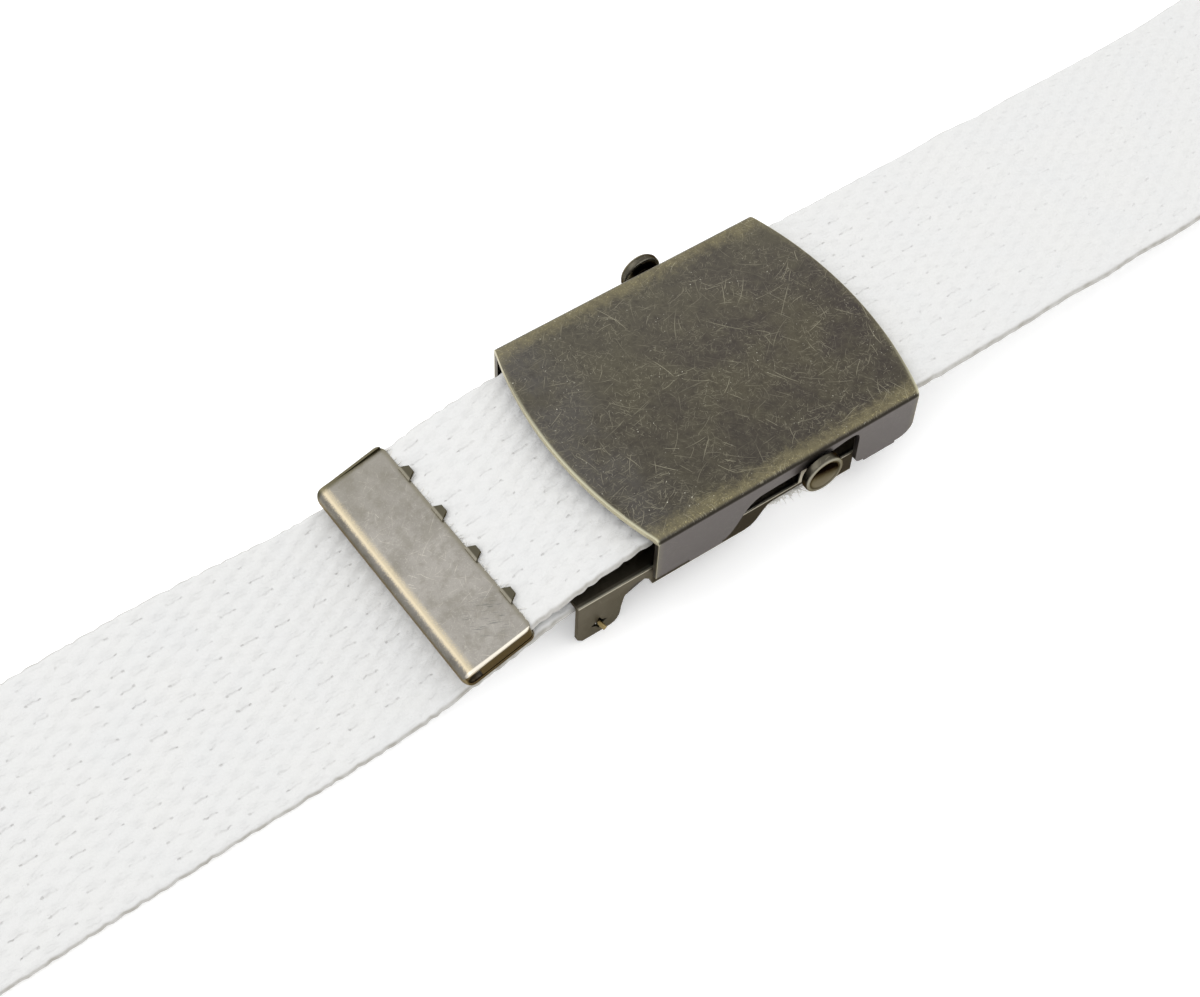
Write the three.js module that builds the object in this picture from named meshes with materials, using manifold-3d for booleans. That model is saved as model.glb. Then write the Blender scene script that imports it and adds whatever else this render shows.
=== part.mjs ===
// A white canvas web belt, closed, lying with the plate of its slide buckle up.
// The strap runs from the metal tip under the cover, over the locking bar, once round the
// waist loop behind, and into the toothed clamp under its own tail.
// Millimetres, +Z up, +X along the buckle away from the tip, -Y towards the front flange.
// The buckle has a frame of its own: u along X, v along Y, w down from the cover's top face.
import * as THREE from "three";
import { mergeVertices } from "three/addons/utils/BufferGeometryUtils.js";
import Module from "manifold-3d";

const wasm = await Module();
wasm.setup();

// Strap
const BELT_LENGTH = 1270;
const STRAP_WIDTH = 38.1;
const STRAP_THICKNESS = 1.8;
const STRAP_CORNER = 0.5;

// Clearances, and how far a cutting shape reaches past what it cuts
const GAP = 0.3;
const SIDE_PLAY = 0.25;
const TRIM = 0.1;

// Cover
const COVER_SHEET = 0.9;
const COVER_LENGTH = 48.2;
const COVER_BOW = 3.6;
const COVER_FOLD = 1.1;
const FLANGE_DEPTH = 9.7;
const FLANGE_TOE_RADIUS = 2.6;
const TAB_LENGTH = 6;
const TAB_REACH = 1.75;
const TAB_INSET = 6.1;
const TAB_INSET_RIGHT = 3.2;

// Locking bar and its slot in the flanges
const BAR_RADIUS = 1.25;
const BAR_U = 5.25;
const BAR_SHIFT = 0.9;
const HEAD_RADIUS = 3.45;
const HEAD_GAP = 1.2;
const HEAD_THICKNESS = 1.5;
const HEAD_DISH = 0.25;
const HEAD_DOME = 0.5;
const SLOT_LEFT = 16.65;
const SLOT_RIGHT = 7.75;
const SLOT_CROWN = 0.5;
const SLOT_LIP_RADIUS = 1.6;

// Inner frame
const FRAME_SHEET = 0.8;
const BAR_TO_WEB = 2.4;
const FRAME_OVERHANG = 12.9;
const FRAME_SETBACK = 1.6;
const EAR_LENGTH = 7.7;
const EAR_DROP = 4.8;
const EAR_CHAMFER = 0.9;
const EAR_HEEL = 2.4;
const EAR_HEEL_RISE = 3.4;
const NOTCH_LENGTH = 5.6;
const NOTCH_RIM = 0.5;
const NOTCH_LEAN = 0.3;
const WALL_LENGTH = 21.9;
const WALL_TOE = 5;
const WALL_TOE_CURVE = 2;
const WALL_LIP = 0.65;
const HEEL_LENGTH = 4.6;
const HEEL_RADIUS = 0.6;
const HEEL_SETBACK = 10.5;
const CHEEK_REACH = 2.3;
const CHEEK_SLOPE = 0.6;
const CHEEK_TOP = 1.9;

// Hinge pin and its star-shaped holes
const PIN_RADIUS = 0.42;
const PIN_STICKOUT = 1.15;
const PIN_BEND = 0.4;
const PIN_INSET = 3.8;
const PIN_RISE = 2.5;
const STAR_POINT = 1.5;
const STAR_PLAY = 0.3;

// Clamp jaw
const JAW_SHEET = 0.8;
const JAW_PLAY = 0.3;
const JAW_KNUCKLE = 0.8;
const JAW_LEVER_LENGTH = 23;
const JAW_LEVER_OVERLAP = 0.6;
const JAW_NOSE_LEAD = 1.5;
const JAW_NOSE_TAPER = 0.2;
const JAW_NOSE_LENGTH = 1.4;
const TOOTH_COUNT = 11;
const TOOTH_DEPTH = 0.8;
const TOOTH_SHARE = 0.4;

// Metal tip
const TIP_LENGTH = 12.6;
const TIP_SHEET = 0.7;
const TIP_PLAY = 0.2;
const TIP_SIDE = 0.4;
const TIP_SIDE_PLAY = 0.15;
const TIP_SIDE_START = 3;
const TIP_CORNER = 1.3;
const TIP_TOOTH_COUNT = 4;
const TIP_TOOTH_PITCH = 8.7;
const TIP_TOOTH_WIDTH = 3;
const TIP_TOOTH_REACH = 1.2;
const TIP_TOOTH_ROOT = 0.3;
const TIP_PITCH = 12.8;

// How the closed belt lies
const BUCKLE_PITCH = 2.5;
const TAIL_FREE = 21;
const TAIL_SKEW = 1.5;
const TAIL_BEND_START = 32;
const TAIL_SAG = 2.1;
const EXIT_SAG = 0.8;
const FIXED_END_U = 9;
const FIXED_END_DROOP = 2.1;
const RIGHT_DROP_RUN = 112;
const LEFT_DROP_RUN = 47;
const RIGHT_STRAIGHT = 25;
const BOW_LENGTH = 205;
const BOW_RADIUS = 800;
const RIGHT_CORNER_RADIUS = 60;
const LEFT_CORNER_RADIUS = 60;
const RIGHT_CORNER_TURN = 118;
const LEFT_CORNER_LEAST = 60;
const LEFT_CORNER_MOST = 175;
const SOLVER_ROUNDS = 60;
const LEFT_STRAIGHT = 42;
const LEFT_BEND = 20;
const LEFT_SKEW = 1.1;
const LEFT_LEAN = 12;
const LEFT_LEAN_START = 42;
const LEFT_LEAN_FULL = 96;
const LEFT_ROLL_START = 130;
const LEFT_ROLL_END = 235;
const RIGHT_ROLL_START = 186;
const RIGHT_ROLL_END = 265;

// The upper edge of the bar's slot, three points to each curve: share of the slot's length
// from the left, share of the way from its crown down to the flange's edge
const SLOT_CURVE = [
  [0.123, 0.753],
  [0.107, 0.21],
  [0.287, 0.21],
  [0.451, 0.198],
  [0.631, 0.173],
  [0.754, 0.086],
  [0.852, 0.049],
  [0.877, 0],
  [0.934, 0],
  [0.984, 0],
  [1, 0.074],
  [1, 0.247],
];

// The bar's heads: share of the head's radius, and share of its thickness below the rim
const HEAD_FRONT = [
  [0.88, 0],
  [0.97, 0.07],
  [1, 0.23],
  [1, 0.87],
  [0.94, 1],
];
const HEAD_BACK = [
  [0.94, 1],
  [1, 0.87],
  [1, 0.33],
  [0.9, 0],
];

// How the strap falls from the buckle to the surface: share of the run, share of the height
const RIGHT_DROP = [
  [0, 1],
  [0.1, 0.95],
  [0.2, 0.9],
  [0.32, 0.82],
  [0.47, 0.64],
  [0.6, 0.47],
  [0.72, 0.29],
  [0.85, 0.11],
  [1, 0],
];
const LEFT_DROP = [
  [0, 1],
  [0.13, 0.84],
  [0.38, 0.39],
  [0.64, 0.1],
  [1, 0],
];

// The rest follows from the sizes above.
const RAD = Math.PI / 180;
const pitch = BUCKLE_PITCH * RAD;
const strapHalf = STRAP_WIDTH / 2;
const frameInner = strapHalf + SIDE_PLAY;
const frameOuter = frameInner + FRAME_SHEET;
const coverInner = frameOuter + GAP;
const coverHalf = coverInner + COVER_SHEET;
const coverEnd = COVER_LENGTH / 2;
const strapTopDepth = COVER_SHEET + GAP;
const barDepth = strapTopDepth + STRAP_THICKNESS + GAP + BAR_RADIUS;
const webTop = barDepth + BAR_RADIUS + BAR_TO_WEB;
const webBottom = webTop + FRAME_SHEET;
const fixedTop = webBottom + SIDE_PLAY;
const fixedBottom = fixedTop + STRAP_THICKNESS;
const leverTop = fixedBottom + GAP;
const wallBottom = leverTop + JAW_SHEET + WALL_LIP;
const earBottom = wallBottom + EAR_DROP;
const earLeft = -coverEnd - FRAME_OVERHANG;
const earRight = earLeft + EAR_LENGTH;
const pinU = earLeft + PIN_INSET;
const pinDepth = earBottom - PIN_RISE;
const footU = earRight - EAR_HEEL;
const leverEnd = earRight + JAW_LEVER_LENGTH;
const tabTop = webBottom + GAP;

// The ears stand on the surface, which sets the height of the cover's centre.
const coverHeight = earBottom * Math.cos(pitch) + footU * Math.sin(pitch);

// A point of the buckle's own frame as a place in the x, z plane of the part.
function placeOf(u, depth) {
  return {
    x: u * Math.cos(pitch) - depth * Math.sin(pitch),
    z: coverHeight - u * Math.sin(pitch) - depth * Math.cos(pitch),
  };
}

// Solids

function solidOf(geometry) {
  const bare = geometry.index ? geometry.toNonIndexed() : geometry.clone();
  bare.deleteAttribute("normal");
  bare.deleteAttribute("uv");
  const merged = mergeVertices(bare, 1e-5);
  return new wasm.Manifold(
    new wasm.Mesh({
      numProp: 3,
      vertProperties: new Float32Array(merged.attributes.position.array),
      triVerts: new Uint32Array(merged.index.array),
    }),
  );
}

function geometryOf(solid) {
  const mesh = solid.getMesh();
  const geometry = new THREE.BufferGeometry();
  geometry.setAttribute("position", new THREE.BufferAttribute(mesh.vertProperties, 3));
  geometry.setIndex(new THREE.BufferAttribute(mesh.triVerts, 1));
  const flat = geometry.toNonIndexed();
  flat.computeVertexNormals();
  return flat;
}

function shapeOf(points) {
  return new THREE.Shape(points.map(([a, b]) => new THREE.Vector2(a, b)));
}

// A shape drawn in u, w and extruded along v, from v = from to v = to.
function across(shape, from, to, curveSegments = 10) {
  const geometry = new THREE.ExtrudeGeometry(shape, {
    depth: to - from,
    bevelEnabled: false,
    curveSegments,
  });
  geometry.rotateX(Math.PI / 2);
  geometry.translate(0, to, 0);
  return solidOf(geometry);
}

// A shape drawn in u, v and extruded upwards, from w = from to w = to.
function upward(shape, from, to, curveSegments = 10) {
  const geometry = new THREE.ExtrudeGeometry(shape, {
    depth: to - from,
    bevelEnabled: false,
    curveSegments,
  });
  geometry.translate(0, 0, from);
  return solidOf(geometry);
}

// A shape drawn in v, w and extruded along u, from u = from to u = to.
function along(shape, from, to, curveSegments = 6) {
  const geometry = new THREE.ExtrudeGeometry(shape, {
    depth: to - from,
    bevelEnabled: false,
    curveSegments,
  });
  const turn = new THREE.Matrix4().makeBasis(
    new THREE.Vector3(0, 1, 0),
    new THREE.Vector3(0, 0, 1),
    new THREE.Vector3(1, 0, 0),
  );
  geometry.applyMatrix4(turn);
  geometry.translate(from, 0, 0);
  return solidOf(geometry);
}

function box(u0, u1, v0, v1, w0, w1) {
  const geometry = new THREE.BoxGeometry(u1 - u0, v1 - v0, w1 - w0);
  geometry.translate((u0 + u1) / 2, (v0 + v1) / 2, (w0 + w1) / 2);
  return solidOf(geometry);
}

// Metals

function metal(color, roughness) {
  return new THREE.MeshStandardMaterial({ color, roughness, metalness: 1 });
}

// Buckle cover

// The plate seen from above: straight sides and ends that bow outwards.
function coverPlan() {
  const radius = (coverHalf ** 2 + COVER_BOW ** 2) / (2 * COVER_BOW);
  const sweep = Math.asin(coverHalf / radius);
  const centre = coverEnd + COVER_BOW - radius;
  const plan = new THREE.Shape();
  plan.moveTo(-coverEnd, -coverHalf);
  plan.lineTo(coverEnd, -coverHalf);
  plan.absarc(centre, 0, radius, -sweep, sweep, false);
  plan.lineTo(-coverEnd, coverHalf);
  plan.absarc(-centre, 0, radius, Math.PI - sweep, Math.PI + sweep, false);
  return plan;
}

// The channel seen from its end: a plate with a flange folded down on each side.
function coverSection(bottom) {
  const inside = COVER_FOLD - COVER_SHEET;
  const section = new THREE.Shape();
  section.moveTo(-coverHalf, -bottom);
  section.lineTo(-coverInner, -bottom);
  section.lineTo(-coverInner, -COVER_FOLD);
  section.absarc(-coverInner + inside, -COVER_FOLD, inside, Math.PI, Math.PI / 2, true);
  section.lineTo(coverInner - inside, -COVER_SHEET);
  section.absarc(coverInner - inside, -COVER_FOLD, inside, Math.PI / 2, 0, true);
  section.lineTo(coverInner, -bottom);
  section.lineTo(coverHalf, -bottom);
  section.lineTo(coverHalf, -COVER_FOLD);
  section.absarc(coverHalf - COVER_FOLD, -COVER_FOLD, COVER_FOLD, 0, Math.PI / 2, false);
  section.lineTo(-coverHalf + COVER_FOLD, 0);
  section.absarc(-coverHalf + COVER_FOLD, -COVER_FOLD, COVER_FOLD, Math.PI / 2, Math.PI, false);
  return section;
}

// Where each tab of the flanges starts and ends along u.
const leftTab = [-coverEnd + TAB_INSET, -coverEnd + TAB_INSET + TAB_LENGTH];
const rightTab = [coverEnd - TAB_INSET_RIGHT - TAB_LENGTH, coverEnd - TAB_INSET_RIGHT];
const tabBottom = tabTop + COVER_SHEET;

// The flange seen from the side, with the bar's slot open at the bottom.
function coverSide() {
  const reach = coverEnd + COVER_BOW + 1;
  const slotLeft = BAR_U - SLOT_LEFT;
  const slotRight = BAR_U + SLOT_RIGHT;
  const crown = COVER_FOLD + SLOT_CROWN;
  const slotPoint = ([share, drop]) => [
    slotLeft + share * (slotRight - slotLeft),
    -crown - drop * (FLANGE_DEPTH - crown),
  ];
  const side = new THREE.Shape();
  side.moveTo(-reach, 1);
  side.lineTo(-reach, -COVER_FOLD);
  side.lineTo(-coverEnd, -COVER_FOLD);
  side.lineTo(-coverEnd, -FLANGE_DEPTH);
  side.lineTo(leftTab[0], -FLANGE_DEPTH);
  side.lineTo(leftTab[0], -tabBottom);
  side.lineTo(leftTab[1], -tabBottom);
  side.lineTo(leftTab[1], -FLANGE_DEPTH);
  side.lineTo(slotLeft, -FLANGE_DEPTH);
  for (let i = 0; i < SLOT_CURVE.length; i += 3) {
    const [first, second, end] = SLOT_CURVE.slice(i, i + 3).map(slotPoint);
    side.bezierCurveTo(...first, ...second, ...end);
  }
  side.lineTo(slotRight, -FLANGE_DEPTH + SLOT_LIP_RADIUS);
  side.quadraticCurveTo(slotRight, -FLANGE_DEPTH, slotRight + SLOT_LIP_RADIUS, -FLANGE_DEPTH);
  side.lineTo(rightTab[0], -FLANGE_DEPTH);
  side.lineTo(rightTab[0], -tabBottom);
  side.lineTo(rightTab[1], -tabBottom);
  side.lineTo(rightTab[1], -FLANGE_DEPTH);
  side.lineTo(coverEnd - FLANGE_TOE_RADIUS, -FLANGE_DEPTH);
  side.absarc(
    coverEnd - FLANGE_TOE_RADIUS,
    -FLANGE_DEPTH + FLANGE_TOE_RADIUS,
    FLANGE_TOE_RADIUS,
    -Math.PI / 2,
    0,
    false,
  );
  side.lineTo(coverEnd, -COVER_FOLD);
  side.lineTo(reach, -COVER_FOLD);
  side.lineTo(reach, 1);
  return side;
}

function buckleCover() {
  const reach = coverEnd + COVER_BOW + 1;
  let cover = along(coverSection(tabBottom), -reach, reach)
    .intersect(upward(coverPlan(), -tabBottom - 1, 1, 16))
    .intersect(across(coverSide(), -coverHalf - 1, coverHalf + 1));
  for (const [start, end] of [leftTab, rightTab]) {
    const inner = coverHalf - TAB_REACH;
    cover = cover
      .add(box(start, end, inner, coverInner + TRIM, -tabBottom, -tabTop))
      .add(box(start, end, -coverInner - TRIM, -inner, -tabBottom, -tabTop));
  }
  return cover;
}

// Inner frame

// A four-pointed hole whose inner corners clear the pin.
function starPath(u, depth) {
  const inner = PIN_RADIUS + STAR_PLAY;
  const points = [];
  for (let i = 0; i < 8; i++) {
    const reach = i % 2 ? inner : STAR_POINT;
    const angle = (i * Math.PI) / 4;
    points.push(new THREE.Vector2(u + reach * Math.cos(angle), -depth + reach * Math.sin(angle)));
  }
  return new THREE.Path(points);
}

// The round hole of a cheek, in which the bar turns.
function cheekHole() {
  const hole = new THREE.Path();
  hole.absarc(BAR_U, -barDepth, BAR_RADIUS + GAP, 0, 2 * Math.PI, false);
  return hole;
}

// A side wall with its ear, the arched notch, the low wall and the cheek for the bar.
function frameWall() {
  const notchRight = earRight + NOTCH_LENGTH;
  const notchTop = webTop + NOTCH_RIM;
  const wallRight = notchRight + WALL_LENGTH;
  const frameRight = coverEnd - FRAME_SETBACK;
  const heelRight = coverEnd - HEEL_SETBACK;
  const heelLeft = heelRight - HEEL_LENGTH;
  const cheekLeft = BAR_U - CHEEK_REACH;
  const cheekRight = BAR_U + CHEEK_REACH;
  const wall = new THREE.Shape();
  wall.moveTo(earLeft, -webTop);
  wall.lineTo(earLeft, -earBottom + EAR_CHAMFER);
  wall.lineTo(earLeft + EAR_CHAMFER, -earBottom);
  wall.lineTo(footU, -earBottom);
  wall.quadraticCurveTo(earRight, -earBottom, earRight, -earBottom + EAR_HEEL_RISE);
  wall.bezierCurveTo(
    earRight + NOTCH_LEAN,
    -notchTop,
    notchRight - NOTCH_LEAN,
    -notchTop,
    notchRight,
    -wallBottom,
  );
  wall.lineTo(wallRight - WALL_TOE, -wallBottom);
  wall.bezierCurveTo(
    wallRight - WALL_TOE_CURVE,
    -wallBottom,
    wallRight - WALL_TOE_CURVE,
    -webBottom,
    wallRight,
    -webBottom,
  );
  wall.lineTo(heelLeft, -webBottom);
  wall.lineTo(heelLeft, -wallBottom + HEEL_RADIUS);
  wall.quadraticCurveTo(heelLeft, -wallBottom, heelLeft + HEEL_RADIUS, -wallBottom);
  wall.lineTo(heelRight, -wallBottom);
  wall.lineTo(heelRight, -webBottom);
  wall.lineTo(frameRight, -webBottom);
  wall.lineTo(frameRight, -webTop);
  wall.lineTo(cheekRight, -webTop);
  wall.lineTo(cheekRight - CHEEK_SLOPE, -CHEEK_TOP);
  wall.lineTo(cheekLeft + CHEEK_SLOPE, -CHEEK_TOP);
  wall.lineTo(cheekLeft, -webTop);
  wall.holes.push(starPath(pinU, pinDepth));
  wall.holes.push(cheekHole());
  wall.holes.push(
    new THREE.Path([
      new THREE.Vector2(leftTab[0] - GAP, -webBottom - 0.05),
      new THREE.Vector2(leftTab[1] + GAP, -webBottom - 0.05),
      new THREE.Vector2(leftTab[1] + GAP, -tabBottom - GAP),
      new THREE.Vector2(leftTab[0] - GAP, -tabBottom - GAP),
    ]),
  );
  return wall;
}

function innerFrame() {
  const half = (frameInner + frameOuter) / 2;
  return box(earLeft, coverEnd - FRAME_SETBACK, -half, half, -webBottom, -webTop)
    .add(across(frameWall(), frameInner, frameOuter, 6))
    .add(across(frameWall(), -frameOuter, -frameInner, 6));
}

// Locking bar: a shaft with a dished head in front and a domed one behind, turned round v.
function lockingBar() {
  const inner = coverHalf + HEAD_GAP;
  const outer = inner + HEAD_THICKNESS;
  const front = HEAD_FRONT.map(([r, y]) => [r * HEAD_RADIUS, -outer + y * HEAD_THICKNESS]);
  const back = HEAD_BACK.map(([r, y]) => [r * HEAD_RADIUS, outer - y * HEAD_THICKNESS]);
  const profile = [
    [0, -outer + HEAD_DISH],
    [HEAD_RADIUS * 0.6, -outer + HEAD_DISH],
    ...front,
    [BAR_RADIUS, -inner],
    [BAR_RADIUS, inner],
    ...back,
    [HEAD_RADIUS / 2, outer + HEAD_DOME * 0.8],
    [0, outer + HEAD_DOME],
  ];
  const points = profile.map(([r, y]) => new THREE.Vector2(r, y));
  const geometry = new THREE.LatheGeometry(points, 32);
  geometry.translate(BAR_U, BAR_SHIFT, -barDepth);
  return solidOf(geometry);
}

// Clamp jaw: a knuckle round the pin, a nose with teeth, and a lever under the channel.
function clampJaw() {
  const half = frameInner - JAW_PLAY;
  const reach = PIN_RADIUS + GAP + JAW_KNUCKLE;
  const noseLeft = pinU - JAW_NOSE_LEAD;
  const leverStart = earRight + NOTCH_LENGTH - JAW_LEVER_OVERLAP;
  const body = shapeOf([
    [noseLeft, -leverTop],
    [noseLeft - JAW_NOSE_TAPER, -pinDepth],
    [pinU, -pinDepth - reach / 4],
    [pinU + reach * 0.7, -pinDepth - reach / 2],
    [leverStart + JAW_SHEET / 2, -leverTop - JAW_SHEET],
    [leverEnd, -leverTop - JAW_SHEET],
    [leverEnd, -leverTop],
    [leverStart, -leverTop],
    [pinU + reach * 0.8, -pinDepth + reach * 0.9],
    [noseLeft + JAW_NOSE_LENGTH, -leverTop],
  ]);
  const knuckle = new THREE.CylinderGeometry(reach, reach, 2 * half, 20);
  const hole = new THREE.CylinderGeometry(PIN_RADIUS + GAP, PIN_RADIUS + GAP, 2 * half + 2, 16);
  knuckle.translate(pinU, 0, -pinDepth);
  hole.translate(pinU, 0, -pinDepth);
  let jaw = across(body, -half, half).add(solidOf(knuckle)).subtract(solidOf(hole));
  const pitchV = (2 * half) / TOOTH_COUNT;
  for (let i = 1; i < TOOTH_COUNT; i++) {
    const v = -half + i * pitchV;
    const groove = shapeOf([
      [v - pitchV * TOOTH_SHARE, -leverTop + TRIM],
      [v, -leverTop - TOOTH_DEPTH],
      [v + pitchV * TOOTH_SHARE, -leverTop + TRIM],
    ]);
    jaw = jaw.subtract(along(groove, noseLeft - 1, noseLeft + JAW_NOSE_LENGTH + GAP));
  }
  return jaw;
}

// Hinge pin: a wire across the ears whose ends are bent down a little.
function hingePin() {
  const end = frameOuter + PIN_STICKOUT;
  const section = new THREE.Shape();
  section.absarc(0, 0, PIN_RADIUS, 0, 2 * Math.PI, false);
  const route = new THREE.CatmullRomCurve3([
    new THREE.Vector3(pinU + PIN_BEND, -end, -pinDepth - PIN_BEND),
    new THREE.Vector3(pinU, -frameOuter + 0.2, -pinDepth),
    new THREE.Vector3(pinU, -frameOuter / 2, -pinDepth),
    new THREE.Vector3(pinU, frameOuter / 2, -pinDepth),
    new THREE.Vector3(pinU, frameOuter - 0.2, -pinDepth),
    new THREE.Vector3(pinU + PIN_BEND, end, -pinDepth - PIN_BEND),
  ]);
  const geometry = new THREE.ExtrudeGeometry(section, {
    extrudePath: route,
    steps: 36,
    curveSegments: 5,
    bevelEnabled: false,
  });
  return solidOf(geometry);
}

// Metal tip, in a frame of its own: p from the closed end, v across, n up from the strap.
const tipHalf = STRAP_THICKNESS / 2 + TIP_PLAY + TIP_SHEET;
const tipCavity = STRAP_THICKNESS / 2 + TIP_PLAY;
const tipSideInner = strapHalf + TIP_SIDE_PLAY;
const tipSideOuter = tipSideInner + TIP_SIDE;

// The tip's plan with rounded corners, which trims the folded sheet.
function tipPlan() {
  const right = TIP_LENGTH;
  const half = tipSideOuter;
  const round = TIP_CORNER;
  const left = round - 0.02;
  const plan = new THREE.Shape();
  plan.moveTo(left, -half);
  plan.lineTo(right - round, -half);
  plan.absarc(right - round, -half + round, round, -Math.PI / 2, 0, false);
  plan.absarc(right - round, half - round, round, 0, Math.PI / 2, false);
  plan.absarc(left, half - round, round, Math.PI / 2, Math.PI, false);
  plan.absarc(left, -half + round, round, Math.PI, 1.5 * Math.PI, false);
  return plan;
}

function strapTip() {
  const far = TIP_LENGTH + 1;
  const wide = tipSideOuter + 1;
  const fold = new THREE.Shape();
  fold.moveTo(far, tipHalf);
  fold.absarc(tipHalf, 0, tipHalf, Math.PI / 2, 1.5 * Math.PI, false);
  fold.lineTo(far, -tipHalf);
  fold.lineTo(far, -tipCavity);
  fold.absarc(tipHalf, 0, tipCavity, 1.5 * Math.PI, Math.PI / 2, true);
  fold.lineTo(far, tipCavity);
  let tip = across(fold, -wide, wide, 8);
  const low = -tipCavity + GAP;
  const high = tipHalf - TRIM;
  tip = tip
    .add(box(TIP_SIDE_START, far, tipSideInner, wide, low, high))
    .add(box(TIP_SIDE_START, far, -wide, -tipSideInner, low, high))
    .intersect(upward(tipPlan(), -tipHalf - 1, tipHalf + 1, 4));
  for (let i = 0; i < TIP_TOOTH_COUNT; i++) {
    const v = (i - (TIP_TOOTH_COUNT - 1) / 2) * TIP_TOOTH_PITCH;
    const tooth = shapeOf([
      [TIP_LENGTH - TIP_TOOTH_ROOT, v - TIP_TOOTH_WIDTH / 2],
      [TIP_LENGTH + TIP_TOOTH_REACH, v - TIP_TOOTH_WIDTH / 5],
      [TIP_LENGTH + TIP_TOOTH_REACH, v + TIP_TOOTH_WIDTH / 5],
      [TIP_LENGTH - TIP_TOOTH_ROOT, v + TIP_TOOTH_WIDTH / 2],
    ]);
    tip = tip
      .add(upward(tooth, tipCavity + 0.02, tipHalf - 0.15))
      .add(upward(tooth, -tipHalf + 0.15, -tipCavity - 0.02));
  }
  return tip;
}

// Route of the strap. s runs along it, with s = 0 above the middle of the buckle on the
// upper layer and s = loopLength below the same place on the lower layer.

const tipOpenX = -coverEnd - TAIL_FREE;
const tipSlope = Math.tan(TIP_PITCH * RAD);
const tipRun = TIP_LENGTH * Math.cos(TIP_PITCH * RAD);
const strapInTip = (TIP_LENGTH - tipHalf - TRIM) * Math.cos(TIP_PITCH * RAD);
const tailEnd = tipOpenX - strapInTip;
const fixedEnd = placeOf(FIXED_END_U, fixedBottom).x;
const loopLength = BELT_LENGTH + tailEnd - fixedEnd;

// A smooth curve through points whose x rises, with no overshoot between them.
function smoothThrough(points) {
  const secants = [];
  for (let i = 0; i + 1 < points.length; i++) {
    secants.push((points[i + 1][1] - points[i][1]) / (points[i + 1][0] - points[i][0]));
  }
  const slopes = points.map((point, i) => {
    if (point.length > 2) return point[2];
    const before = secants[Math.max(0, i - 1)];
    const after = secants[Math.min(secants.length - 1, i)];
    if (before * after <= 0) return 0;
    return (2 * before * after) / (before + after);
  });
  return (x) => {
    let i = 0;
    while (i < points.length - 2 && x > points[i + 1][0]) i++;
    const [x0, y0] = points[i];
    const [x1, y1] = points[i + 1];
    const run = x1 - x0;
    const t = Math.min(1, Math.max(0, (x - x0) / run));
    const s = 1 - t;
    return (
      y0 * (1 + 2 * t) * s * s +
      slopes[i] * run * t * s * s +
      y1 * (3 - 2 * t) * t * t -
      slopes[i + 1] * run * t * t * s
    );
  };
}

function smoothStep(from, to, x) {
  const t = Math.min(1, Math.max(0, (x - from) / (to - from)));
  return t * t * (3 - 2 * t);
}

// Height of the lower layer's middle near the buckle, by x.
const clampExit = placeOf(earLeft, (fixedTop + fixedBottom) / 2);
const clampInside = placeOf(FIXED_END_U + 1, (fixedTop + fixedBottom) / 2);
const flatMiddle = STRAP_THICKNESS / 2;
const buckleSlope = (clampInside.z - clampExit.z) / (clampInside.x - clampExit.x);
const leftDrop = LEFT_DROP.map(([run, height]) => [
  clampExit.x - run * LEFT_DROP_RUN,
  flatMiddle + height * (clampExit.z - flatMiddle),
]).reverse();
leftDrop[leftDrop.length - 1].push(0);
const lowerHeight = smoothThrough(leftDrop);

// Height of the upper layer's middle, by x: tip, mouth, bar, exit, fall to the surface.
const tipFarX = tipOpenX - tipRun;
const edgeBelowTip = STRAP_WIDTH * Math.sin(rollAt(loopLength + tipFarX));
const tipFarHeight =
  lowerHeight(tipFarX) + flatMiddle + edgeBelowTip + GAP + tipHalf / Math.cos(TIP_PITCH * RAD);
const tipOpenHeight = tipFarHeight + TIP_LENGTH * Math.sin(TIP_PITCH * RAD);
const mouth = placeOf(-coverEnd, COVER_SHEET + TAIL_SAG + flatMiddle);
const overBar = placeOf(BAR_U, strapTopDepth + flatMiddle);
const exit = placeOf(coverEnd, COVER_SHEET + EXIT_SAG + flatMiddle);
const rightDrop = RIGHT_DROP.map(([run, height]) => [
  exit.x + run * RIGHT_DROP_RUN,
  flatMiddle + height * (exit.z - flatMiddle),
]);
const upperHeight = smoothThrough([
  [tipOpenX, tipOpenHeight, tipSlope],
  [mouth.x, mouth.z],
  [overBar.x - BAR_RADIUS, overBar.z - BAR_RADIUS * buckleSlope, buckleSlope],
  [overBar.x + BAR_RADIUS, overBar.z + BAR_RADIUS * buckleSlope, buckleSlope],
  ...rightDrop,
]);

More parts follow.
